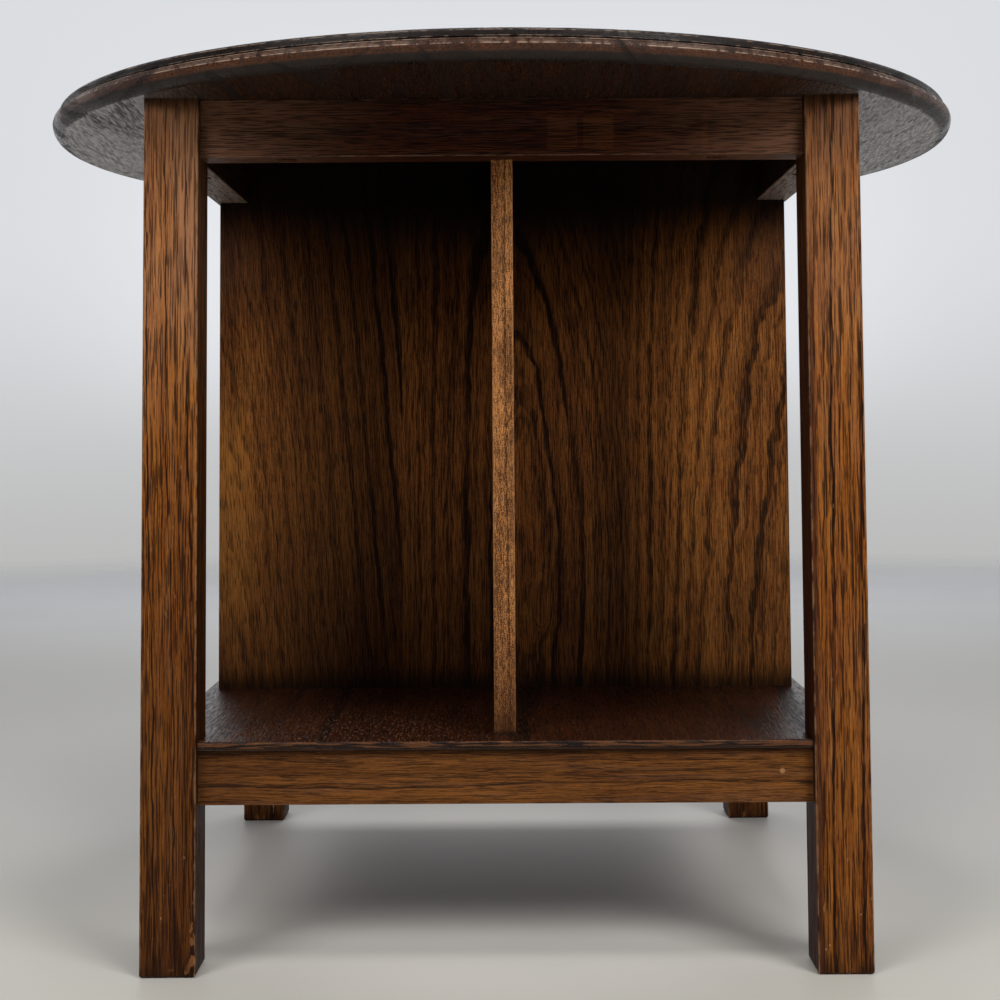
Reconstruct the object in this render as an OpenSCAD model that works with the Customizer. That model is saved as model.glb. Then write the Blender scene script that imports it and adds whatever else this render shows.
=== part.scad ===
// Round oak side table with a book rack under its top.
// Four square legs and eight mortised rails carry the round top and a thin shelf.
// An upright panel across the middle and a divider on each side of it make four book bays.
// Millimetres. The origin is on the floor under the centre, +X to the right, -Y to the front.

/* [Top] */
// Diameter of the top over the nose of its moulded edge
top_d = 610; // [560:5:680]
// Thickness of the top
top_t = 18; // [16.5:0.5:24]
// Width of each of the three middle boards of the top
top_board_w = 116; // [100:1:140]
// Width of the rounded edge under the nose
nose_w = 6; // [4:0.5:7]
// Height of the nose above the underside
nose_h = 8.5; // [7.5:0.5:9.5]
// Height of the face of the nose above its widest line
nose_face_h = 2.1; // [1:0.1:2.5]
// Lean of that face back from the widest line
nose_lean = 0.6; // [0.2:0.1:1.5]
// Setback of the bead above the nose
bead_in = 2.5; // [2:0.1:3.5]
// Height of the bead, a half round
bead_h = 1.6; // [1:0.1:2]
// Setback of the quirk above the bead
quirk_in = 4.8; // [4.4:0.1:6]
// Height of the quirk
quirk_h = 1; // [0.6:0.1:1.4]
// Setback of the upper member of the edge
upper_in = 4; // [3:0.1:4.3]
// Radius of the round from the upper member to the top face
upper_r = 2.4; // [1:0.1:2.8]

/* [Legs] */
// Width of a leg, which is square
leg_w = 31.75; // [30:0.25:38]
// Height of a leg, from the floor to the underside of the top
leg_h = 500.6; // [440:1:600]
// Width of the frame over the outer faces of the legs
frame_w = 414.4; // [400:0.4:440]
// Radius of the worn arrises of a leg
leg_arris_r = 1; // [0.4:0.1:2]
// Chamfer round the foot of a leg
foot_chamfer = 1.5; // [0.5:0.1:3]

/* [Aprons and rails] */
// Setback of the aprons and rails from the outer faces of the legs
rail_setback = 7.2; // [4:0.1:9]
// Thickness of the aprons and rails
rail_t = 22; // [18:0.5:24]
// Height of the aprons under the top
apron_h = 33.8; // [30:0.2:60]
// Height of the rails under the shelf
rail_h = 31.5; // [28:0.5:50]
// Radius of the arrises of the aprons and rails
rail_arris_r = 0.8; // [0.3:0.1:1.5]
// Thickness of the tenons
tenon_t = 8; // [6:0.5:9]
// Shoulder under each tenon, and over those of the rails
tenon_shoulder = 5; // [3:0.5:8]
// Height of the haunch over the tenons of the aprons
haunch_h = 8; // [5:0.5:10]
// Depth of the haunch in the leg
haunch_d = 5; // [3:0.5:6]

/* [Shelf] */
// Height of the upper face of the shelf above the floor
shelf_z = 130.7; // [100:0.5:200]
// Thickness of the shelf
shelf_t = 4.8; // [4.2:0.2:12]
// Inset of the edges of the shelf from the outer faces of the legs
shelf_inset = 2.8; // [0.5:0.1:5]
// Radius of the worn upper arrises of the shelf
shelf_arris_r = 1.6; // [0.5:0.1:2]
// Width of the bearer across the middle under the shelf
bearer_w = 45; // [30:1:70]
// Thickness of the bearer
bearer_t = 18; // [12:0.5:24]
// Length of the stub tenons of the bearer
bearer_tenon = 8; // [5:0.5:12]

/* [Book panel and dividers] */
// Thickness of the upright panel
panel_t = 9.5; // [8:0.5:16]
// Width of the panel under the side aprons
panel_w = 394; // [372:1:400]
// Distance of the left glue joint of the panel from the middle
panel_joint_left = 70; // [55:1:120]
// Distance of the right glue joint of the panel from the middle
panel_joint_right = 86; // [55:1:120]
// Radius of the worn arrises of the panel and the dividers
board_arris_r = 0.8; // [0.3:0.1:1.5]
// Thickness of the dividers
divider_t = 12.7; // [10:0.1:18]
// Setback of the edges of the dividers from the outer faces of the aprons
divider_setback = 13; // [6:0.5:18]
// Depth of the housings in the panel that take the dividers
housing_d = 2.5; // [1:0.5:3]

/* [Screws and pins] */
// Diameter of the shank of the screws in the aprons and the bearer
screw_d = 4.2; // [3.5:0.1:5]
// Diameter of their heads
screw_head_d = 8.4; // [7:0.1:10]
// Length of the screws that hold the top
top_screw_len = 25.4; // [20:0.2:28]
// Diameter of the pockets that take the heads of those screws
pocket_d = 12.7; // [10.5:0.1:14]
// Wood left between the end of a pocket and the top
pocket_seat = 13.8; // [12:0.2:20]
// Distance of the pockets of the front and rear aprons from the middle
pocket_x = 126.5; // [60:0.5:150]
// Distance of the pockets of the side aprons from the middle
pocket_y = 120.3; // [60:0.1:150]
// Length of the screws that hold the panel
panel_screw_len = 38; // [30:1:45]
// Spacing of the screws that hold the panel
panel_screw_pitch = 100; // [90:1:105]
// Diameter of the shank of the screws that hold the dividers
divider_screw_d = 3.5; // [3:0.1:4]
// Diameter of their heads
divider_screw_head_d = 6.9; // [6:0.1:7.5]
// Length of those screws
divider_screw_len = 25.4; // [20:0.2:32]
// Distance of the outer screw of a divider from the middle
divider_screw_far = 150; // [120:1:165]
// Distance of its inner screw from the middle
divider_screw_near = 70; // [40:1:90]
// Diameter of the pins that hold the shelf down on its rails
pin_d = 1.6; // [1.2:0.1:2]
// Diameter of the heads of the pins
pin_head_d = 2.6; // [2.2:0.1:3.2]
// Length of the pins
pin_len = 20; // [15:1:26]
// Spacing of the pins along a rail
pin_pitch = 115; // [60:1:140]

/* [Fits] */
// Gap round tenons, housed edges and screws
glue_gap = 0.1; // [0.05:0.05:0.2]
// Gap past the end of a tenon, and between two tenons that meet in a leg
end_gap = 0.8; // [0.4:0.1:1.5]
// Gap at the notches of the shelf, the panel and the dividers
notch_gap = 0.3; // [0.1:0.1:0.5]

/* [Hidden] */
$fn = 64;
top_r = top_d / 2;
frame_r = frame_w / 2;
leg_in = frame_r - leg_w;
rail_c = frame_r - rail_setback - rail_t / 2;
rail_in = rail_c - rail_t / 2;
rail_out = rail_c + rail_t / 2;
apron_z = leg_h - apron_h;
shelf_under = shelf_z - shelf_t;
rail_z = shelf_under - rail_h;
shelf_r = frame_r - shelf_inset;
board_h = leg_h - shelf_z;
divider_out = rail_out - divider_setback;
divider_in = panel_t / 2 - housing_d + glue_gap;
pocket_depth = apron_h - pocket_seat;
// Curves of the moulding are drawn with this many flats
arc_steps = 8;
bead_steps = 6;
// A cut runs this far past the face that it opens
over = 1;
head_rim = 0.4;
slot_w = 1.1;
slot_depth = 1.2;
screw_tip = 4;
pin_head_h = 1;
pin_tip = 2;
top_screw_places = [
    for (sx = [-1, 1], sy = [-1, 1]) each [
        [sx * pocket_x, sy * rail_c], [sx * rail_c, sy * pocket_y]
    ]
];
panel_screw_places = [for (i = [-1.5:1:1.5]) [i * panel_screw_pitch, 0]];
divider_screw_places = [
    for (sy = [-1, 1], d = [divider_screw_near, divider_screw_far]) [0, sy * d]
];
pin_places = [
    for (s = [-1, 1], i = [-1:1]) each [
        [i * pin_pitch, s * rail_c], [s * rail_c, i * pin_pitch]
    ]
];
TOP_OAK = [0.25, 0.16, 0.11];
LEG_OAK = [0.43, 0.25, 0.13];
APRON_OAK = [0.26, 0.15, 0.10];
RAIL_OAK = [0.38, 0.24, 0.13];
SHELF_OAK = [0.24, 0.13, 0.09];
PANEL_OAK = [0.36, 0.22, 0.11];
STEEL = [0.45, 0.44, 0.42];

// Points of a round stretch of an outline about c, from angle a0 to a1
function arc(c, r, a0, a1, steps) = [
    for (i = [0:steps]) let (a = a0 + (a1 - a0) * i / steps)
        c + r * [cos(a), sin(a)]
];

// Rectangle about the origin with rounded arrises
module eased(size, r) {
    square([size.x - 2 * r, size.y], center = true);
    square([size.x, size.y - 2 * r], center = true);
    for (sx = [-1, 1], sy = [-1, 1])
        translate([sx * (size.x / 2 - r), sy * (size.y / 2 - r)]) circle(r);
}

// Box between two corners
module box(lo, hi) {
    translate(lo) cube(hi - lo);
}

// Slotted countersunk wood screw that points up, with its head at the origin
module wood_screw(d, head_d, len) {
    difference() {
        rotate_extrude() polygon([
            [0, 0], [head_d / 2, 0], [head_d / 2, head_rim],
            [d / 2, head_rim + (head_d - d) / 2], [d / 2, len - screw_tip], [0, len]
        ]);
        translate([-slot_w / 2, -head_d, -slot_depth]) cube([slot_w, 2 * head_d, 2 * slot_depth]);
    }
}

// Hole that such a screw fills, open below
module screw_hole(d, head_d, len) {
    r = d / 2 + glue_gap;
    head_r = head_d / 2 + glue_gap;
    rotate_extrude() polygon([
        [0, -over], [head_r, -over], [head_r, head_rim],
        [r, head_rim + (head_d - d) / 2], [r, len - screw_tip], [0, len + glue_gap]
    ]);
}

module at(places, z) {
    for (p = places) translate([p.x, p.y, z]) children();
}

module top_screw_holes() {
    at(top_screw_places, apron_z + pocket_depth) screw_hole(screw_d, screw_head_d, top_screw_len);
}

module panel_screw_holes() {
    at(panel_screw_places, shelf_under - bearer_t)
        screw_hole(screw_d, screw_head_d, panel_screw_len);
}

module divider_screw_holes() {
    at(divider_screw_places, shelf_under)
        screw_hole(divider_screw_d, divider_screw_head_d, divider_screw_len);
}

// Pin with its head up and its head's top face at the origin, grown by gap for its hole
module pin(gap = 0, rise = 0) {
    rotate_extrude() polygon([
        [0, rise], [pin_head_d / 2 + gap, rise], [pin_head_d / 2 + gap, -pin_head_h - gap],
        [pin_d / 2 + gap, -pin_head_h - gap], [pin_d / 2 + gap, pin_tip - pin_len],
        [0, -pin_len - gap]
    ]);
}

module pin_holes() {
    at(pin_places, shelf_z) pin(glue_gap, over);
}

// Half section of the top: rounded under the nose, then a bead, a quirk and the upper member
module top_section() {
    under_r = (nose_w * nose_w + nose_h * nose_h) / (2 * nose_w);
    face_z = nose_h + nose_face_h;
    bead_z = face_z + bead_h;
    upper_z = bead_z + quirk_h;
    polygon(concat(
        [[0, 0]],
        arc([top_r - under_r, nose_h], under_r, -asin(nose_h / under_r), 0, arc_steps),
        [[top_r - nose_lean, face_z]],
        arc([top_r - bead_in - bead_h / 2, face_z + bead_h / 2], bead_h / 2, -90, 90, bead_steps),
        [[top_r - quirk_in, bead_z], [top_r - quirk_in, upper_z], [top_r - upper_in, upper_z]],
        arc([top_r - upper_in - upper_r, top_t - upper_r], upper_r, 0, 90, arc_steps),
        [[0, top_t]]
    ));
}

// Board of the top between two glue joints
module top_board(x0, x1) {
    color(TOP_OAK) difference() {
        intersection() {
            translate([0, 0, leg_h]) rotate_extrude() top_section();
            box([x0, -top_d, leg_h - over], [x1, top_d, leg_h + top_t + over]);
        }
        top_screw_holes();
    }
}

// Mortise in a leg for the end of a rail along X, with its haunch socket if it has one
module mortise(z, h, haunched) {
    lo = rail_c - tenon_t / 2 - glue_gap;
    hi = rail_c + tenon_t / 2 + glue_gap;
    box([leg_in - over, lo, z - glue_gap], [rail_c + tenon_t / 2 + end_gap, hi, z + h + glue_gap]);
    if (haunched)
        box([leg_in - over, lo, z + h], [leg_in + haunch_d + end_gap, hi, leg_h + over]);
}

module leg_mortises() {
    mortise(apron_z + tenon_shoulder, apron_h - tenon_shoulder - haunch_h, true);
    mortise(rail_z + tenon_shoulder, rail_h - 2 * tenon_shoulder, false);
}

// Leg in the corner that side_x and side_y name
module leg(side_x, side_y) {
    color(LEG_OAK) scale([side_x, side_y, 1]) difference() {
        translate([frame_r - leg_w / 2, frame_r - leg_w / 2, 0])
            linear_extrude(leg_h) eased([leg_w, leg_w], leg_arris_r);
        leg_mortises();
        mirror([1, -1, 0]) leg_mortises();
        for (turn = [0:90:270])
            translate([frame_r - leg_w / 2, frame_r - leg_w / 2, 0]) rotate(turn)
                translate([leg_w / 2, 0, 0]) rotate([0, 45, 0])
                    cube([foot_chamfer * sqrt(2), 2 * leg_w, foot_chamfer * sqrt(2)], center = true);
    }
}

// Tenon on the right end of the rear rail, mitred where it meets its neighbour in the leg
module tenon(z, h) {
    lo = rail_c - tenon_t / 2;
    hi = rail_c + tenon_t / 2;
    translate([0, 0, z]) linear_extrude(h) polygon([
        [leg_in - over, lo], [lo - end_gap / 2, lo], [hi - end_gap / 2, hi], [leg_in - over, hi]
    ]);
}

// Bar between two legs at the rear, with its arrises eased
module bar(z, h) {
    translate([-leg_in, rail_c, z + h / 2]) rotate([90, 0, 90])
        linear_extrude(2 * leg_in) eased([rail_t, h], rail_arris_r);
}

// Apron as the rear one stands, with haunched tenons and pockets for its screws to the top
module apron(screw_at) {
    tenon_h = apron_h - tenon_shoulder - haunch_h;
    color(APRON_OAK) difference() {
        union() {
            bar(apron_z, apron_h);
            for (side = [0, 1]) mirror([side, 0, 0]) {
                tenon(apron_z + tenon_shoulder, tenon_h);
                box([leg_in - over, rail_c - tenon_t / 2, apron_z + tenon_shoulder + tenon_h],
                    [leg_in + haunch_d, rail_c + tenon_t / 2, leg_h]);
            }
        }
        for (side = [-1, 1]) translate([side * screw_at, rail_c, apron_z]) {
            translate([0, 0, -over]) cylinder(h = pocket_depth + over, d = pocket_d);
            translate([0, 0, pocket_depth]) screw_hole(screw_d, screw_head_d, top_screw_len);
        }
    }
}

// Rail under the shelf as the rear one stands, with plain tenons
module rail() {
    color(RAIL_OAK) difference() {
        union() {
            bar(rail_z, rail_h);
            for (side = [0, 1]) mirror([side, 0, 0])
                tenon(rail_z + tenon_shoulder, rail_h - 2 * tenon_shoulder);
        }
        pin_holes();
    }
}

// Side rail as the rear one stands, with the mortise for the bearer in its inner face
module side_rail() {
    w = bearer_w / 2 - tenon_shoulder + glue_gap;
    color(RAIL_OAK) difference() {
        rail();
        box([-w, rail_in - over, shelf_under - bearer_t + tenon_shoulder - glue_gap],
            [w, rail_in + bearer_tenon + end_gap, shelf_under - tenon_shoulder + glue_gap]);
    }
}

module shelf_bearer() {
    color(RAIL_OAK) difference() {
        union() {
            translate([-rail_in, 0, shelf_under - bearer_t / 2]) rotate([90, 0, 90])
                linear_extrude(2 * rail_in) eased([bearer_w, bearer_t], rail_arris_r);
            box([-rail_in - bearer_tenon, tenon_shoulder - bearer_w / 2,
                 shelf_under - bearer_t + tenon_shoulder],
                [rail_in + bearer_tenon, bearer_w / 2 - tenon_shoulder,
                 shelf_under - tenon_shoulder]);
        }
        panel_screw_holes();
        divider_screw_holes();
    }
}

// Slice through the shelf, with its upper arrises rounded
module shelf_section() {
    square_w = 2 * (shelf_r - shelf_arris_r);
    translate([-shelf_r, 0]) square([2 * shelf_r, shelf_t - shelf_arris_r]);
    translate([-square_w / 2, 0]) square([square_w, shelf_t]);
    for (side = [-1, 1])
        translate([side * square_w / 2, shelf_t - shelf_arris_r]) circle(shelf_arris_r);
}

module shelf_slab() {
    translate([0, shelf_r + over, shelf_under]) rotate([90, 0, 0])
        linear_extrude(2 * (shelf_r + over)) shelf_section();
}

module shelf() {
    notch = leg_in - notch_gap;
    color(SHELF_OAK) difference() {
        intersection() {
            shelf_slab();
            rotate(90) shelf_slab();
        }
        for (sx = [-1, 1], sy = [-1, 1]) scale([sx, sy, 1])
            box([notch, notch, shelf_under - over], [frame_r, frame_r, shelf_z + over]);
        pin_holes();
        panel_screw_holes();
        divider_screw_holes();
    }
}

// Board of the upright panel between two glue joints, notched under the side aprons
module panel_board(x0, x1) {
    color(PANEL_OAK) difference() {
        intersection() {
            translate([0, 0, shelf_z]) linear_extrude(board_h)
                eased([panel_w, panel_t], board_arris_r);
            box([x0, -panel_t, shelf_z], [x1, panel_t, leg_h]);
        }
        for (side = [0, 1]) mirror([side, 0, 0])
            box([rail_in - notch_gap, -panel_t, apron_z - notch_gap],
                [frame_r, panel_t, leg_h + over]);
        for (side = [-1, 1]) translate([0, side * panel_t / 2, shelf_z - over])
            translate([-divider_t / 2 - glue_gap, -housing_d, 0])
                cube([divider_t + 2 * glue_gap, 2 * housing_d, board_h + 2 * over]);
        panel_screw_holes();
    }
}

// Divider as the rear one stands, from its housing in the panel to under the apron
module divider() {
    color(LEG_OAK) difference() {
        translate([0, (divider_in + divider_out) / 2, shelf_z]) linear_extrude(board_h)
            eased([divider_t, divider_out - divider_in], board_arris_r);
        box([-divider_t, rail_in - notch_gap, apron_z - notch_gap],
            [divider_t, frame_r, leg_h + over]);
        divider_screw_holes();
    }
}

module top_screws() {
    color(STEEL) at(top_screw_places, apron_z + pocket_depth)
        wood_screw(screw_d, screw_head_d, top_screw_len);
}

module panel_screws() {
    color(STEEL) at(panel_screw_places, shelf_under - bearer_t)
        wood_screw(screw_d, screw_head_d, panel_screw_len);
}

module divider_screws() {
    color(STEEL) at(divider_screw_places, shelf_under)
        wood_screw(divider_screw_d, divider_screw_head_d, divider_screw_len);
}

module shelf_pins() {
    color(STEEL) at(pin_places, shelf_z) pin();
}

top_board(-top_r, -1.5 * top_board_w);  // top_board_left_outer
top_board(-1.5 * top_board_w, -0.5 * top_board_w);  // top_board_left
top_board(-0.5 * top_board_w, 0.5 * top_board_w);  // top_board_centre
top_board(0.5 * top_board_w, 1.5 * top_board_w);  // top_board_right
top_board(1.5 * top_board_w, top_r);  // top_board_right_outer
leg(-1, -1);  // leg_front_left
leg(1, -1);  // leg_front_right
leg(-1, 1);  // leg_rear_left
leg(1, 1);  // leg_rear_right
rotate(180) apron(pocket_x);  // apron_front
apron(pocket_x);  // apron_rear
rotate(90) apron(pocket_y);  // apron_left
rotate(-90) apron(pocket_y);  // apron_right
rotate(180) rail();  // rail_front
rail();  // rail_rear
rotate(90) side_rail();  // rail_left
rotate(-90) side_rail();  // rail_right
shelf_bearer();
shelf();
panel_board(-panel_w / 2, -panel_joint_left);  // panel_board_left
panel_board(-panel_joint_left, panel_joint_right);  // panel_board_middle
panel_board(panel_joint_right, panel_w / 2);  // panel_board_right
rotate(180) divider();  // divider_front
divider();  // divider_rear
top_screws();
panel_screws();
divider_screws();
shelf_pins();
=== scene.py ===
import math

import bmesh
import bpy
from mathutils import Matrix, Vector


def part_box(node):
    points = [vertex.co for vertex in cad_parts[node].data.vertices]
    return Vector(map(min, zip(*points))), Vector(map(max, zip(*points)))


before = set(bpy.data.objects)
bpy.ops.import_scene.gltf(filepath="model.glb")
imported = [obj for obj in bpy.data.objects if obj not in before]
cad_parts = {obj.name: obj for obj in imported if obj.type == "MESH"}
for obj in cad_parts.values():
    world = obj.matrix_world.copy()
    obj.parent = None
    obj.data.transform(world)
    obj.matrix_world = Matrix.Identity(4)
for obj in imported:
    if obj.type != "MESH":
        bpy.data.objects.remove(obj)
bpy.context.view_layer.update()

# Camera
# It stands a little over a metre in front of the table and lower than its top, so that it looks
# up at the moulded rim and into the open bays.
camera_place = (0.0008, -1.1718, 0.3073)
camera_heading = 0.138
camera_pitch = 93.245
camera_roll = -0.353
camera_data = bpy.data.cameras.new("camera")
camera_data.lens = 60.52
camera_data.sensor_width = 36.0
camera_data.shift_y = -0.1655
camera = bpy.data.objects.new("camera", camera_data)
bpy.context.scene.collection.objects.link(camera)
camera.matrix_world = (Matrix.Translation(camera_place)
                       @ Matrix.Rotation(math.radians(camera_heading), 4, "Z")
                       @ Matrix.Rotation(math.radians(camera_pitch), 4, "X")
                       @ Matrix.Rotation(math.radians(camera_roll), 4, "Z"))
bpy.context.scene.camera = camera
bpy.context.scene.view_settings.view_transform = "Standard"


# Floor and background
# A pale grey studio floor, slightly polished, that fades into a plain pale background lit from
# behind the table. The room behind the camera is dark. Light is painted into the floor: it is
# painted lighter in front of the table, and paler and warmer round its middle, in its shadow.
class Field:
    """One socket of a material, worked with like a number."""

    def __init__(self, finish, socket):
        self.finish = finish
        self.socket = socket

    def math(self, operation, *others):
        """A Math node that takes this value first."""
        return self.finish.math(operation, self, *others)

    def __add__(self, other):
        return self.math("ADD", other)

    __radd__ = __add__

    def __sub__(self, other):
        return self.math("SUBTRACT", other)

    def __rsub__(self, other):
        return self.finish.math("SUBTRACT", other, self)

    def __mul__(self, other):
        return self.math("MULTIPLY", other)

    __rmul__ = __mul__

    def __truediv__(self, other):
        return self.math("DIVIDE", other)

    def __pow__(self, other):
        return self.math("POWER", other)

    def __abs__(self):
        return self.math("ABSOLUTE")

    def rise(self, low, high):
        """0 below low and 1 above high, with a smooth slope between."""
        return self.finish.node("MapRange", {"interpolation_type": "SMOOTHSTEP"},
                                {"Value": self, "From Min": low, "From Max": high})

    def fall(self, low, high):
        """1 below low and 0 above high, with a smooth slope between."""
        return 1 - self.rise(low, high)

    def out(self, name):
        """Another output of the same node."""
        return Field(self.finish, self.socket.node.outputs[name])


class Finish:
    """A material, or the studio's background, made node by node."""

    def __init__(self, owner):
        owner.use_nodes = True
        self.owner = owner
        self.tree = owner.node_tree
        self.tree.nodes.clear()

    def node(self, kind, settings=None, inputs=None, output=0):
        """One node: its settings first, then the values or links of its sockets."""
        made = self.tree.nodes.new("ShaderNode" + kind)
        for name, value in (settings or {}).items():
            setattr(made, name, value)
        for socket, value in (inputs or {}).items():
            if isinstance(value, Field):
                self.tree.links.new(value.socket, made.inputs[socket])
            else:
                made.inputs[socket].default_value = value
        return Field(self, made.outputs[output]) if made.outputs else None

    def math(self, operation, *values):
        return self.node("Math", {"operation": operation}, dict(enumerate(values)))

    def blend(self, first, second, share):
        """One colour going over to another by a share from 0 to 1."""
        return self.node("Mix", {"data_type": "RGBA"}, {0: share, 6: first, 7: second}, 2)


def tone(red, green, blue):
    """A colour as it is seen, from 0 to 255 each, as the shader's own colour."""
    def linear(value):
        value = value / 255
        return value / 12.92 if value <= 0.04045 else ((value + 0.055) / 1.055) ** 2.4
    return (linear(red), linear(green), linear(blue), 1.0)


def new_piece(name, shape):
    """A new object at the origin from a finished bmesh."""
    mesh = bpy.data.meshes.new(name)
    shape.to_mesh(mesh)
    shape.free()
    piece = bpy.data.objects.new(name, mesh)
    bpy.context.scene.collection.objects.link(piece)
    return piece


floor_radius = 3.2
floor_fade = 2.2
painted_light_front = tone(212, 208, 197)
middle_grey = tone(190, 188, 183)
painted_light_centre = tone(246, 241, 233)
far_white = tone(250, 250, 252)
mottle_grey = tone(196, 195, 193)
floor_shape = bmesh.new()
bmesh.ops.create_circle(floor_shape, cap_ends=True, segments=128, radius=floor_radius)
floor = new_piece("floor", floor_shape)
floor_finish = Finish(bpy.data.materials.new("pale_floor"))
spot = floor_finish.node("TexCoord", output="Object")
away = floor_finish.node("SeparateXYZ", None, {0: spot}, "Y")
reach = floor_finish.node("VectorMath", {"operation": "LENGTH"}, {0: spot}, "Value")
mottle = floor_finish.node("TexNoise", None, {"Vector": spot, "Scale": 5.0, "Detail": 3.0})
# Painted light: lighter in front of the table, and paler and warmer in the table's shadow.
paint = floor_finish.blend(painted_light_front, middle_grey, away.rise(-0.3, 0.2))
paint = floor_finish.blend(paint, painted_light_centre, reach.fall(0.15, 0.31))
paint = floor_finish.blend(paint, far_white, away.rise(0.7, 2.3))
paint = floor_finish.blend(paint, mottle_grey, mottle.rise(0.35, 0.75) * 0.12)
floor_skin = floor_finish.node("BsdfPrincipled", None, {
    "Base Color": paint,
    "Roughness": 0.5,
    "Specular IOR Level": 0.35})
see_through = floor_finish.node("BsdfTransparent")
floor_finish.node("OutputMaterial", None, {0: floor_finish.node(
    "MixShader", None, {0: reach.rise(floor_fade, floor_radius), 1: floor_skin, 2: see_through})})
floor.data.materials.append(floor_finish.owner)

wall_grey = tone(186, 186, 185)
wall_pale = tone(219, 221, 225)
wall_glow = tone(244, 246, 250)
room_light = 0.6
world = bpy.data.worlds.new("studio")
bpy.context.scene.world = world
studio = Finish(world)
way = studio.node("SeparateXYZ", None, {0: studio.node("TexCoord", output="Generated")})
sideways = abs(way.out("X"))
back = way.out("Y")
up = way.out("Z")
glow = sideways.fall(0.06, 0.3) * up.rise(-0.02, 0.07) * up.fall(0.1, 0.28)
wall = studio.blend(wall_grey, wall_pale, up.rise(-0.1, 0.12))
wall = studio.blend(wall, wall_glow, glow * 0.8)
seen = studio.node("LightPath", output="Is Camera Ray")
mirrored = seen.out("Is Glossy Ray").math("MAXIMUM", seen.out("Is Transmission Ray"))
shown = seen.math("MAXIMUM", mirrored * back.rise(-0.2, 0.5))
unseen = 1 - seen.math("MAXIMUM", mirrored)
strength = shown + unseen * (room_light * back.rise(-0.4, 0.5))
studio.node("OutputWorld", None, {0: studio.node("Background", None, {
    "Color": wall,
    "Strength": strength})})


# Lights
# A soft light stands on each side of the camera, well above it, the right one brighter. Two more
# hang high over the table, one in front of it and one behind.
def soft_light(name, size, place, aim, power):
    """A rectangular lamp that the camera doesn't see, turned towards a point."""
    lamp = bpy.data.lights.new(name, "AREA")
    lamp.shape = "RECTANGLE"
    lamp.size, lamp.size_y = size
    lamp.energy = power
    holder = bpy.data.objects.new(name, lamp)
    bpy.context.scene.collection.objects.link(holder)
    turn = (Vector(aim) - Vector(place)).to_track_quat("-Z", "Y")
    holder.matrix_world = Matrix.Translation(place) @ turn.to_matrix().to_4x4()
    holder.visible_camera = False


middle_of_table = (0.0, 0.0, 0.28)
front_of_table = (0.0, -0.1, 0.28)
soft_light("light_left", (0.9, 0.7), (-1.12, -1.54, 1.38), middle_of_table, 14.0)
soft_light("light_right", (0.9, 0.7), (1.12, -1.54, 1.32), middle_of_table, 21.0)
soft_light("light_over", (1.3, 0.6), (0.0, -0.85, 2.3), front_of_table, 14.0)
soft_light("light_rear", (1.2, 0.8), (0.0, 1.1, 2.19), middle_of_table, 16.0)
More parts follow.
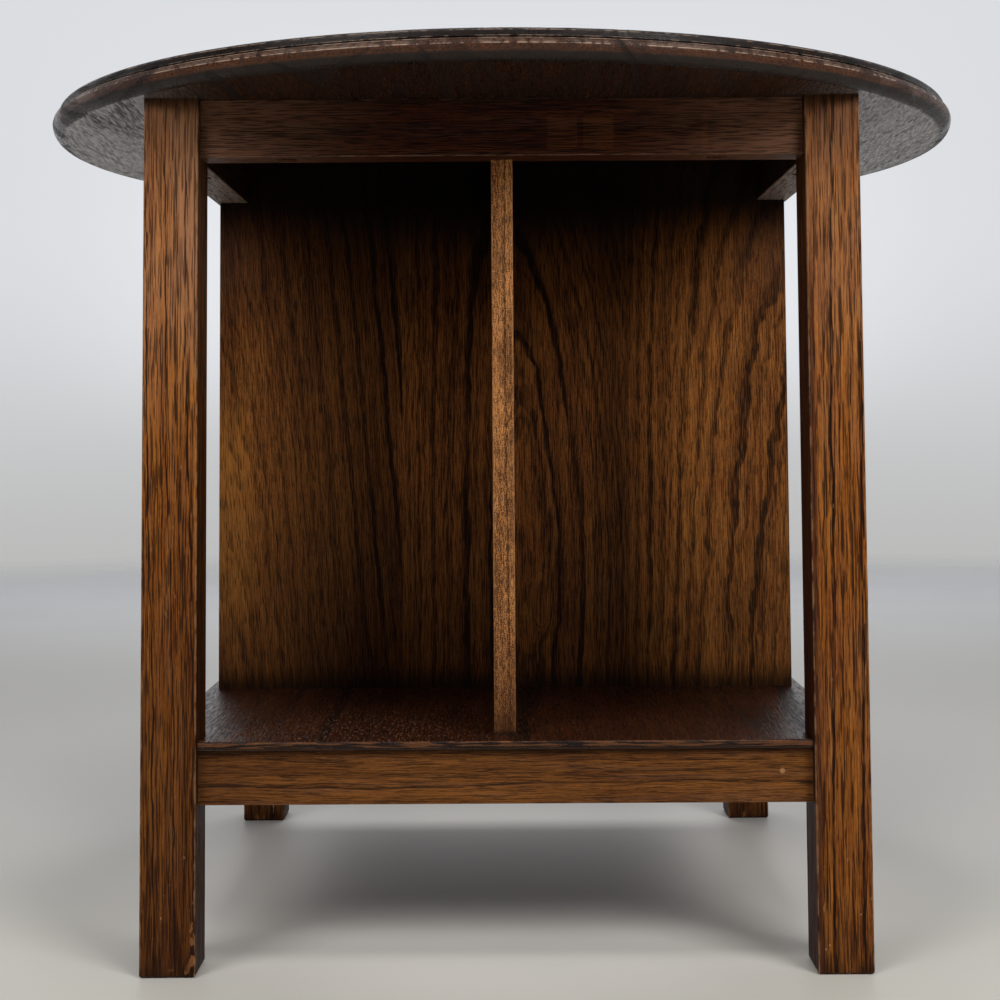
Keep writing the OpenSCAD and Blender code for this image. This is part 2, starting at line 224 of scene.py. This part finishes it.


# Legs
# Four square oak legs, 32 mm each way, sawn from straight plank, stained golden brown and waxed.
# Their arrises are rubbed pale, and their feet are chipped and darker, with a darker band at the
# very bottom. A pale sheen is painted on their upper parts, and shade is painted at their tops
# under the table, on their inner faces and, in part, down their lower parts.
class Oak(Finish):
    """Stained oak cut from one plank. Growth rings lie round a heart line that runs along the
    grain, and the early wood of each ring and its open pores hold more of the stain.

    heart: where the heart line passes, across the board and through its depth.
    ring: the width of one growth ring.
    taper, bow: how far the rings spread along the board, evenly and faster and faster.
    tilt: the share of that spread by which the heart line leans. slope: how far the pores lean.
    sway, ripple: how far the rings stray from a circle, slowly and quickly.
    light, deep: the lightest and the deepest tone of the stained wood.
    dash: open pores per metre, across the grain and along it. sparse: how few of them show.
    bold, pores, lines, fine: how plainly early wood, open pores, fibres and flecks show.
    painted_sheen_share: how plainly a painted grey sheen shows.
    rare, quiet: how few rings have dark early wood, and how dark it is in the others.
    dark_rings: the darkest rings, each with its place across, its width and its strength.
    knots: where rings bulge round a branch, each with its place and size.
    rings_lead: whether the pores follow the rings and not the board."""

    def __init__(self, node, along, heart, ring, seed, light, deep, bold, dash, pores, painted_sheen_share,
                 taper=0.0, bow=0.0, tilt=0.0, slope=0.0, sway=0.008, ripple=0.001, lines=0.5,
                 fine=0.6, rare=0.5, quiet=0.15, sparse=0.05, dark_rings=(), knots=(),
                 rings_lead=False):
        super().__init__(bpy.data.materials.new("oak_" + node))
        self.corner, self.far_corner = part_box(node)
        self.spot = self.node("TexCoord", output="Object")
        parts = self.node("SeparateXYZ", None, {0: self.spot})
        self.x, self.y, self.z = parts.out("X"), parts.out("Y"), parts.out("Z")
        across, depth, length = {"X": (self.y, self.z, self.x),
                                 "Y": (self.x, self.z, self.y),
                                 "Z": (self.x, self.y, self.z)}[along]
        leaning = across + length * slope
        self.grain = self.node("CombineXYZ", None, {0: leaning, 1: depth, 2: length})

        # The rings. Each cloud of noise adds its own number to the seed, so that no two agree.
        growth = length * taper + length * length * bow
        side = across - heart[0] + growth * tilt
        rear = depth - heart[1]
        swing = self.noise((16, 16, 3.2), seed, 1.0) - 0.5
        wriggle = self.noise((50, 50, 32), seed + 7.3, 2.0) - 0.5
        radius = (side * side + rear * rear).math("SQRT") + swing * sway + wriggle * ripple + growth
        for knot_side, knot_rise, size in knots:
            radius = radius - self.knot(across - knot_side, length - knot_rise, size)
        count = self.uneven(radius / ring, seed)
        self.early = self.early_wood(count, seed, rare, quiet)
        if dark_rings:
            fading = 0.5 + 0.5 * self.noise((60, 60, 9), seed + 3.3, 1.0).rise(0.3, 0.5)
            for place, width, strength in dark_rings:
                band = self.dark_ring(radius, place - heart[0], heart[1], width, taper, bow, tilt)
                self.early = self.early.math("MAXIMUM", band * fading * strength)
        late_lines = (count * 3).math("FRACT")
        late_lines = late_lines.rise(0.0, 0.3) * late_lines.fall(0.4, 0.9)

        # The fibres, clouds and pores.
        if rings_lead:
            lead = radius + across * 0.6
            self.grain = self.node("CombineXYZ", None, {0: lead, 1: depth, 2: length})
        close, long = dash
        fibre = self.noise((close * 1.2, close * 1.2, long * 0.5), seed + 6.2, 1.0).rise(0.28, 0.72)
        cloud = self.noise((260, 260, 9), seed + 9.9, 2.0).rise(0.3, 0.7)
        patch = self.noise((16, 16, 5), seed + 12.5, 2.0).rise(0.35, 0.68)
        painted_sheen = self.noise((170, 170, 11), seed + 15.1, 2.0).rise(0.5, 0.66)
        flecks = self.noise((close * 1.3, close * 1.3, long * 6), seed + 4.7, 0.0) - 0.5
        streaks = self.noise((close, close, long), seed + 2.1, 1.0) + self.early * 0.12
        streaks = streaks.rise(0.46 + sparse, 0.56 + sparse)
        self.open_pores = streaks * (0.75 + 0.25 * self.early) * pores

        # The colour, gloss and height of the stained wood.
        painted_sheen_tone = (150, 118, 104)
        early_tone = [value * 0.55 for value in deep]
        pore_tone = [value * 0.28 for value in deep]
        depth_of_stain = (cloud * 0.35 + patch * 0.25 + late_lines * 0.1 + fibre * lines
                          + flecks * fine - 0.1)
        self.colour = self.blend(tone(*light), tone(*deep), depth_of_stain)
        # Painted sheen: a grey haze in random clouds over the wood.
        self.stain(painted_sheen_tone, painted_sheen * painted_sheen_share)
        self.stain(early_tone, self.early * bold)
        self.stain(pore_tone, self.open_pores)
        self.gloss = 0.4 + self.open_pores * 0.2 + fibre * 0.08
        self.height = 0 - self.open_pores * 0.7 - self.early * 0.2 - fibre * 0.25

    def noise(self, scale, seed, detail):
        """Cloudy noise, stretched along the grain. Scales are in bumps per metre."""
        place = self.node("VectorMath", {"operation": "MULTIPLY_ADD"}, {
            0: self.grain, 1: scale, 2: (seed, seed * 1.7, seed * 0.6)})
        return self.node("TexNoise", None, {
            "Vector": place, "Scale": 1.0, "Detail": detail, "Roughness": 0.6})

    def knot(self, side, rise, size):
        """How far the rings bulge near a knot, which is three times as long as it is wide."""
        stretch = 3
        reach = size * 3
        push = 0.9
        gap = side ** 2 * stretch ** 2 + rise ** 2
        return gap.fall(0.0, reach ** 2) * size * push

    def uneven(self, count, seed):
        """A count of rings in which some are wider than others."""
        pace = 0.9
        strength = 0.9
        spread = self.node("TexNoise", {"noise_dimensions": "1D"}, {
            "W": count * pace + seed, "Scale": 1.0, "Detail": 0.0})
        return count + spread * strength

    def early_wood(self, count, seed, rare, quiet):
        """The porous first half of each ring, darker in some rings than in others."""
        phase = count.math("FRACT")
        chance = self.node("TexWhiteNoise", {"noise_dimensions": "1D"}, {
            "W": count.math("FLOOR") + seed})
        return (phase.rise(0.0, 0.12) * phase.fall(0.2, 0.5)
                * (quiet + (1 - quiet) * chance.rise(rare, 1.0)))

    def dark_ring(self, radius, side, heart_depth, width, taper, bow, tilt):
        """One ring with a dark core and soft sides. Its place is given 0.3 m above the floor."""
        known_height = 0.3
        least_lean = 0.35
        growth = known_height * taper + known_height ** 2 * bow
        side = side + growth * tilt
        known_radius = math.hypot(side, self.corner[1] - heart_depth)
        width = width * max(least_lean, abs(side) / known_radius)
        gap = abs(radius - (known_radius + growth))
        return gap.fall(width * 0.2, width * 0.5) * 0.8 + gap.fall(0.0, width) * 0.2

    def edge(self):
        """How far a point of a squared piece lies from its nearest arris, in metres."""
        gaps = []
        for place, low, high in zip((self.x, self.y, self.z), self.corner, self.far_corner):
            gaps.append((high - low) / 2 - abs(place - (low + high) / 2))
        largest = gaps[0].math("MAXIMUM", gaps[1]).math("MAXIMUM", gaps[2])
        return gaps[0] + gaps[1] + gaps[2] - largest

    def inner_face(self):
        """1 on the face that a side piece turns to the middle of the table."""
        face = min(abs(self.corner[0]), abs(self.far_corner[0]))
        return abs(self.x).fall(face + 0.0002, face + 0.0008)

    def stain(self, colour, share):
        self.colour = self.blend(self.colour, tone(*colour), share)

    def fade(self, colour, share):
        """A pale colour painted over the polish that leaves the open pores dark."""
        self.stain(colour, share * (1 - self.open_pores * 0.85))

    def rub(self, colour, width, share):
        """Arrises that use has worn pale, in broken lines."""
        chatter = self.node("TexNoise", None, {"Vector": self.spot, "Scale": 110.0, "Detail": 3.0})
        wear_and_highlight = self.edge() + (chatter - 0.5) * width * 2.2
        self.stain(colour, wear_and_highlight.fall(width * 0.5, width) * share)

    def wax(self, shine, roughness=0.0, depth=0.00025, dull_pores=0.0):
        """The finished material. The depth is that of the open pores, in metres."""
        bump = self.node("Bump", None, {"Strength": 1.0, "Distance": depth, "Height": self.height})
        skin = self.node("BsdfPrincipled", None, {
            "Base Color": self.colour,
            "Roughness": self.gloss + roughness + self.open_pores * dull_pores,
            "Specular IOR Level": shine,
            "Normal": bump})
        self.node("OutputMaterial", None, {0: skin})
        return self.owner


def dress(node, material):
    """Puts a material on a piece of the frame."""
    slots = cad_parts[node].data.materials
    slots.clear()
    slots.append(material)


legs = {
    "leg_front_left": dict(heart=(-0.245, -0.165), painted_sheen=0.45, grime_and_shade=0.62),
    "leg_front_right": dict(heart=(0.262, -0.17), painted_sheen=0.2, grime_and_shade=0.26),
    "leg_rear_left": dict(heart=(-0.15, 0.24), painted_sheen=0.3, grime_and_shade=0.5),
    "leg_rear_right": dict(heart=(0.14, 0.23), painted_sheen=0.3, grime_and_shade=0.5)}
bare_oak = (196, 152, 108)
for number, (leg, traits) in enumerate(legs.items()):
    oak = Oak(leg, "Z", heart=traits["heart"], ring=0.0046, taper=0.012, ripple=0.0035,
              seed=3.1 * number + 1, light=(178, 110, 42), deep=(102, 46, 20), bold=0.7,
              dash=(1250, 46), pores=1.0, painted_sheen_share=0.1, quiet=0.4, sparse=0.055)
    drift = oak.noise((40, 40, 8), seed=number + 5.0, detail=3.0).rise(0.3, 0.6)
    nicks = oak.noise((320, 320, 110), seed=number + 20.0, detail=2.0).rise(0.71, 0.75)
    scuffs = oak.noise((130, 130, 20), seed=number + 30.0, detail=2.0).rise(0.5, 0.64)
    chips = oak.noise((150, 150, 70), seed=number + 40.0, detail=3.0).rise(0.62, 0.66)
    upper_half = oak.z.rise(0.28, 0.42)
    shade_beside_apron = oak.z.rise(0.44, 0.49)
    shade_at_leg_top = oak.z.rise(0.49, 0.5)
    lower_part = oak.z.fall(0.06, 0.42)
    foot = oak.z.fall(0.0, 0.06)
    dark_bottom_band = (oak.z + drift * 0.012).fall(0.004, 0.022)
    # Painted sheen: the upper parts are painted paler.
    oak.fade((190, 144, 112), upper_half * (0.4 + drift * 0.6) * traits["painted_sheen"])
    # Painted shade: the tops beside the aprons, under the table's top, are painted darker.
    oak.fade((90, 64, 50), shade_beside_apron * 0.5)
    # Darker towards the bottom: partly a darker finish and partly painted shade.
    oak.stain((44, 22, 9), lower_part * traits["grime_and_shade"])
    oak.stain((36, 20, 12), foot * 0.3)
    # A darker band at the very bottom of the foot.
    oak.stain((22, 13, 9), dark_bottom_band * 0.6)
    # Painted shade on the inner faces, which turn to the middle of the table.
    oak.stain((34, 17, 9), oak.inner_face() * 0.7)
    oak.stain(bare_oak, nicks * (0.15 + oak.z.fall(0.02, 0.09) * 0.6))
    oak.stain((34, 14, 8), scuffs * oak.z.fall(0.01, 0.13) * 0.6)
    chips = chips * oak.z.fall(0.03, 0.07) * oak.edge().fall(0.002, 0.007)
    oak.stain((150, 98, 60), chips * 0.6)
    if leg == "leg_front_right":
        # Painted shade on a strip of the inner face.
        shaded_inner_strip = (oak.x - oak.corner[0]).fall(0.0025, 0.0045) * oak.z.fall(0.36, 0.45)
        oak.stain((52, 26, 22), shaded_inner_strip * 0.7)
    oak.rub((172, 128, 92), width=0.001, share=0.45)
    # Painted shade at the top end of the leg, under the table's top.
    oak.stain((30, 14, 8), shade_at_leg_top * 0.8)
    dress(leg, oak.wax(shine=0.08, depth=0.0005))


# Aprons
# Four rails under the top, haunched into the legs, in straight oak with a reddish brown stain.
# A pale sheen is painted on them away from the middle of the table, so the side ones carry it all
# over, a grey reflection is painted under the side ones, and shade on their inner faces.
front_patches = ((0.026, 0.045, 0.22), (0.047, 0.066, 0.28), (0.1155, 0.121, 0.3))
patch_edge = 0.0015
aprons = {"apron_front": "X", "apron_rear": "X", "apron_left": "Y", "apron_right": "Y"}
for number, (apron, along) in enumerate(aprons.items()):
    oak = Oak(apron, along, heart=(0.05, 0.56), ring=0.006, ripple=0.0012,
              seed=5.3 * number + 2, light=(88, 42, 22), deep=(34, 14, 7), bold=0.5,
              dash=(1300, 60), pores=1.0, lines=0.6, painted_sheen_share=0.05, quiet=0.3)
    # Painted sheen: paler away from the middle of the table.
    off_middle = abs(oak.x).rise(0.05, 0.19)
    oak.fade((136, 98, 74), off_middle * 0.55)
    oak.rub((150, 118, 96), width=0.0008, share=0.25)
    if apron == "apron_front":
        for left, right, share in front_patches:
            patch = oak.x.rise(left, left + patch_edge) * oak.x.fall(right - patch_edge, right)
            patch = patch * oak.z.rise(0.469, 0.472) * oak.z.fall(0.488, 0.492)
            oak.fade((120, 72, 36), patch * share)
    if along == "Y":
        low = oak.corner[2]
        under_face = oak.z.fall(low + 0.0002, low + 0.0008)
        off_under_face = oak.z.rise(low + 0.0004, low + 0.001)
        # A painted grey reflection on the under face of a side apron, and painted shade on its
        # inner face.
        oak.fade((150, 147, 144), under_face * 0.35)
        oak.stain((8, 4, 3), off_under_face * oak.inner_face() * 0.8)
    dress(apron, oak.wax(shine=0.1))


# Lower rails and bearer
# Four oak rails tenoned into the legs carry the shelf, and a bearer crosses under its middle.
# The front one has a small pale dent near its right end. A shadow is painted along their tops
# under the shelf, and shade towards their left ends.
dent_side = 0.158
dent_rise = 0.1122
dent_core = 0.0008
dent_edge = 0.0019
rails = {"rail_front": "X", "rail_rear": "X", "rail_left": "Y", "rail_right": "Y",
         "shelf_bearer": "X"}
for number, (rail, along) in enumerate(rails.items()):
    oak = Oak(rail, along, heart=(-0.1, 0.02), ring=0.006, seed=4.1 * number + 3, sway=0.012,
              ripple=0.0025, light=(132, 82, 36), deep=(76, 41, 16), bold=0.5, dash=(1250, 60),
              pores=0.8, painted_sheen_share=0.06, quiet=0.3, sparse=0.06, rings_lead=True)
    shaded_left_end = oak.x.fall(-0.2, -0.1)
    shelf_shadow = oak.z.rise(0.1225, 0.1255)
    # Painted shade towards the left end.
    oak.stain((40, 20, 10), shaded_left_end * 0.3)
    oak.rub((150, 106, 74), width=0.0008, share=0.4)
    # A painted shadow along the top, under the shelf.
    oak.stain((22, 11, 6), shelf_shadow * 0.8)
    if rail == "rail_front":
        dent = (oak.x - dent_side) ** 2 + (oak.z - dent_rise) ** 2
        oak.stain((180, 130, 84), dent.fall(dent_core ** 2, dent_edge ** 2) * 0.8)
    dress(rail, oak.wax(shine=0.1))


# Shelf
# One thin oak board, notched round the legs and pinned to the rails, with its grain running
# front to back. It has a dark reddish polish, glossier than the rest. Pale flecks and glints are
# painted near its front as highlights, most of them at the left.
oak = Oak("shelf", "Y", heart=(0.1, -0.2), ring=0.008, seed=6.6, light=(72, 35, 17),
          deep=(34, 14, 7), bold=0.35, dash=(1200, 80), pores=0.9, painted_sheen_share=0.03)
# Painted highlights: pale flecks near the front, more of them at the left.
flecks = oak.noise((900, 900, 150), seed=9.1, detail=1.0).rise(0.56, 0.66)
flecks = flecks * oak.y.fall(-0.16, -0.03)
more_at_left = 0.1 + oak.x.fall(-0.08, 0.04) * 0.38
oak.stain((150, 104, 76), flecks * more_at_left)
# Painted glints near the front left.
glints = oak.noise((520, 520, 240), seed=17.4, detail=1.0).rise(0.76, 0.79)
glints = glints * oak.y.fall(-0.17, -0.1) * oak.x.fall(-0.1, 0.0)
oak.stain((196, 176, 160), glints * 0.45)
ragged_spot = oak.node("VectorMath", {"operation": "MULTIPLY"}, {
    0: oak.spot, 1: (60.0, 400.0, 900.0)})
ragged = oak.node("TexNoise", None, {"Vector": ragged_spot, "Scale": 1.0, "Detail": 2.0})
edge_colour = oak.blend(tone(28, 14, 9), tone(96, 58, 32), ragged.rise(0.42, 0.6))
front_edge = oak.y.fall(oak.corner[1] + 0.0003, oak.corner[1] + 0.001)
lower_arris = oak.z.fall(oak.corner[2] + 0.0008, oak.corner[2] + 0.0018)
oak.colour = oak.blend(oak.colour, edge_colour, front_edge)
oak.rub((150, 98, 60), width=0.0009, share=0.5)
oak.stain((18, 9, 5), lower_arris * 0.85)
dress("shelf", oak.wax(shine=0.22, roughness=-0.14, depth=0.0003))


# Upright panel
# Three oak boards glued edge to edge and notched round the aprons, which stand on the shelf.
# The sawyer cut them flat, so their rings rise in tall arches. Shade is painted on them: nearly
# black under the top, darker over the upper middle, in the left bay and beside the right-hand
# joint. A grey sheen is painted on the upper corners and light on the left edge.
panel_light = (156, 98, 44)
panel_deep = (74, 36, 17)
panel_boards = {
    "panel_board_left": dict(
        heart=(-0.22, 0.08), taper=0.08, slope=0.05, seed=1.3, light=panel_light, deep=panel_deep,
        dark_rings=((-0.121, 0.003, 0.5), (-0.107, 0.003, 0.6), (-0.094, 0.004, 0.9),
                    (-0.0785, 0.0045, 1.0), (-0.067, 0.004, 1.0))),
    "panel_board_middle": dict(
        heart=(-0.002, 0.045), taper=-0.13, bow=0.3, tilt=1.0, seed=8.2, light=panel_light,
        deep=panel_deep, knots=((0.026, 0.19, 0.008),),
        dark_rings=((0.014, 0.004, 0.6), (0.0275, 0.005, 1.0), (0.0475, 0.006, 1.0),
                    (0.06, 0.003, 0.5), (0.07, 0.004, 0.6), (0.08, 0.003, 0.5))),
    "panel_board_right": dict(
        heart=(0.262, 0.2), bow=0.14, tilt=1.3, seed=5.5, light=(180, 116, 54), deep=(92, 46, 22),
        dark_rings=((0.094, 0.004, 0.5), (0.103, 0.005, 0.75), (0.115, 0.003, 0.5),
                    (0.127, 0.005, 0.75), (0.138, 0.004, 0.5), (0.149, 0.004, 0.6),
                    (0.165, 0.0055, 0.8), (0.186, 0.0055, 0.8)))}
for board, cut in panel_boards.items():
    oak = Oak(board, "Z", ring=0.0048, sway=0.01, ripple=0.005, bold=0.8, dash=(1650, 75),
              pores=0.9, painted_sheen_share=0.0, rare=0.9, quiet=0.32, **cut)
    painted_light_left_edge = oak.x.fall(-0.182, -0.168) * oak.z.rise(0.16, 0.19) * oak.z.fall(0.29, 0.34)
    left_shade = oak.x.rise(-0.18, -0.135) * oak.x.fall(-0.09, -0.05)
    joint_shade = abs(oak.x - 0.08).fall(0.004, 0.026)
    lower_half = oak.z.fall(0.13, 0.32)
    shade_upper_middle = oak.z.rise(0.36, 0.47) * abs(oak.x).fall(0.06, 0.19)
    sheen_upper_corners = oak.z.rise(0.37, 0.44) * abs(oak.x).rise(0.14, 0.19)
    shade_under_top = oak.z.rise(0.425, 0.468)
    foot = oak.z.fall(0.131, 0.15)
    # Painted light on the left edge.
    oak.fade((204, 138, 62), painted_light_left_edge * 0.24)
    # Painted shade in the left bay and beside the right-hand joint.
    oak.stain((24, 12, 6), left_shade * 0.4)
    oak.stain((24, 12, 6), joint_shade * 0.4)
    oak.stain((30, 14, 6), lower_half * 0.5)
    # Painted shade over the upper middle.
    oak.stain((14, 6, 2), shade_upper_middle * 0.85)
    # A painted grey sheen on the upper corners.
    oak.stain((66, 50, 46), sheen_upper_corners * 0.4)
    # Painted shade, nearly black, just under the top.
    oak.stain((7, 3, 2), shade_under_top * 0.95)
    oak.stain((14, 7, 4), foot * 0.8)
    dress(board, oak.wax(shine=0.08))


# Dividers
# Two narrow upright oak boards, paler than the rest, split the bays in front and behind. They
# are housed into the panel and screwed up through the shelf.
for number, divider in enumerate(("divider_front", "divider_rear")):
    oak = Oak(divider, "Z", heart=(0.06, -0.2), ring=0.004, seed=2.7 * number + 4,
              light=(208, 142, 84), deep=(88, 50, 27), bold=0.45, dash=(1500, 260), pores=0.75,
              painted_sheen_share=0.0, fine=2.1)
    grubby = oak.noise((90, 90, 34), seed=number + 6.0, detail=3.0).rise(0.45, 0.62)
    lower_part = oak.z.fall(0.13, 0.21)
    foot = oak.z.fall(0.1312, 0.1345)
    oak.stain((58, 32, 18), grubby * 0.45)
    oak.rub((176, 134, 92), width=0.0008, share=0.4)
    oak.stain((62, 32, 16), lower_part * 0.7)
    oak.stain((26, 13, 7), foot * 0.8)
    dress(divider, oak.wax(shine=0.1))


# Top
# Five oak boards glued edge to edge, turned to a circle and worked with a moulded rim. The
# boards run front to back. The polish has gone nearly black. Highlight lines are painted along
# the rim, shade in its quirk, and a grey reflection under the ends of the boards.
top_hearts = {"top_board_left_outer": -0.24, "top_board_left": -0.1, "top_board_centre": 0.02,
              "top_board_right": 0.13, "top_board_right_outer": 0.22}
top_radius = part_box("top_board_centre")[1][1]
under_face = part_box("top_board_centre")[0][2]
# Painted highlight lines along the rim: height above the under face, half breadth and strength.
highlight_lines = ((0.0087, 0.0005, 0.65), (0.0097, 0.0003, 0.3), (0.0106, 0.0003, 0.45),
                (0.012, 0.0004, 0.6), (0.0134, 0.0003, 0.4), (0.0166, 0.0004, 0.4))


def above(oak, low, high):
    """0 below one height over the top's under face and 1 above another."""
    return oak.z.rise(under_face + low, under_face + high)


for number, (board, heart_side) in enumerate(top_hearts.items()):
    oak = Oak(board, "Y", heart=(heart_side, 0.56), ring=0.008, taper=0.05,
              seed=3.7 * number + 0.5, light=(112, 66, 38), deep=(56, 30, 18), bold=0.5,
              dash=(2100, 75), pores=1.0, lines=0.7, painted_sheen_share=0.05, quiet=0.3, sparse=0.045)
    flat_spot = oak.node("CombineXYZ", None, {0: oak.x, 1: oak.y})
    reach = oak.node("VectorMath", {"operation": "LENGTH"}, {0: flat_spot}, "Value")
    chatter = oak.node("TexNoise", None, {"Vector": oak.spot, "Scale": 220.0, "Detail": 3.0})
    scuff = oak.node("TexNoise", None, {"Vector": oak.spot, "Scale": 32.0, "Detail": 2.0})
    end_grain = oak.noise((900, 900, 260), seed=3.3, detail=1.0).rise(0.4, 0.6)
    off_middle = abs(oak.x)
    more_at_sides = 0.4 + off_middle.rise(0.08, 0.16) * 0.5
    rim = reach.rise(top_radius - 0.0085, top_radius - 0.0065)
    below = 1 - above(oak, 0.0002, 0.0014)
    under_nose = rim * (1 - above(oak, 0.0039, 0.0056))
    nose_up = rim * above(oak, 0.0042, 0.006)
    nose = nose_up * (1 - above(oak, 0.0078, 0.0086))
    bead = rim * above(oak, 0.0106, 0.011) * (1 - above(oak, 0.0118, 0.0122))
    upper_member = rim * above(oak, 0.0122, 0.0134)
    quirk_shade = abs(oak.z - (under_face + 0.0128)).fall(0.0003, 0.0006)
    oak.stain((24, 12, 7), below * 0.75)
    # A painted grey reflection under the ends of the boards.
    oak.fade((182, 177, 176), below * off_middle.rise(0.15, 0.27) * 0.62)
    oak.stain((22, 15, 12), under_nose * 0.9)
    oak.stain((96, 66, 48), bead * 0.6)
    # A paler orange on the nose, more of it towards the sides.
    oak.stain((96, 56, 32), nose * scuff.rise(0.35, 0.6) * more_at_sides)
    oak.stain((16, 8, 5), nose_up * end_grain * 0.6)
    oak.stain((16, 12, 10), upper_member * 0.85)
    # Painted shade in the quirk.
    oak.stain((6, 4, 3), rim * quirk_shade * 0.9)
    broken = (scuff * 0.8 + chatter).rise(0.8, 1.0)
    # Painted highlight lines along the rim, broken here and there.
    for height, breadth, wear_and_highlight in highlight_lines:
        line = abs(oak.z - (under_face + height)).fall(breadth * 0.4, breadth) * broken
        oak.stain((190, 160, 138), rim * line * wear_and_highlight)
    oak.gloss = oak.gloss + rim * (0.12 - scuff.rise(0.45, 0.6) * 0.2)
    dress(board, oak.wax(shine=0.28, roughness=-0.2, depth=0.00012, dull_pores=0.25))


# Screws and pins
# Countersunk wood screws hold the top, panel and dividers, and thin pins the shelf. All are
# plain steel that has gone dull and brown in places.
steel_grey = tone(150, 146, 140)
tarnish_brown = tone(86, 70, 58)
steel = Finish(bpy.data.materials.new("dull_steel"))
steel_spot = steel.node("TexCoord", output="Object")
tarnish = steel.node("TexNoise", None, {"Vector": steel_spot, "Scale": 400.0, "Detail": 3.0})
steel.node("OutputMaterial", None, {0: steel.node("BsdfPrincipled", None, {
    "Base Color": steel.blend(steel_grey, tarnish_brown, tarnish.rise(0.4, 0.7)),
    "Metallic": 1.0,
    "Roughness": 0.35 + tarnish * 0.3})})
for fasteners in ("top_screws", "panel_screws", "divider_screws", "shelf_pins"):
    dress(fasteners, steel.owner)
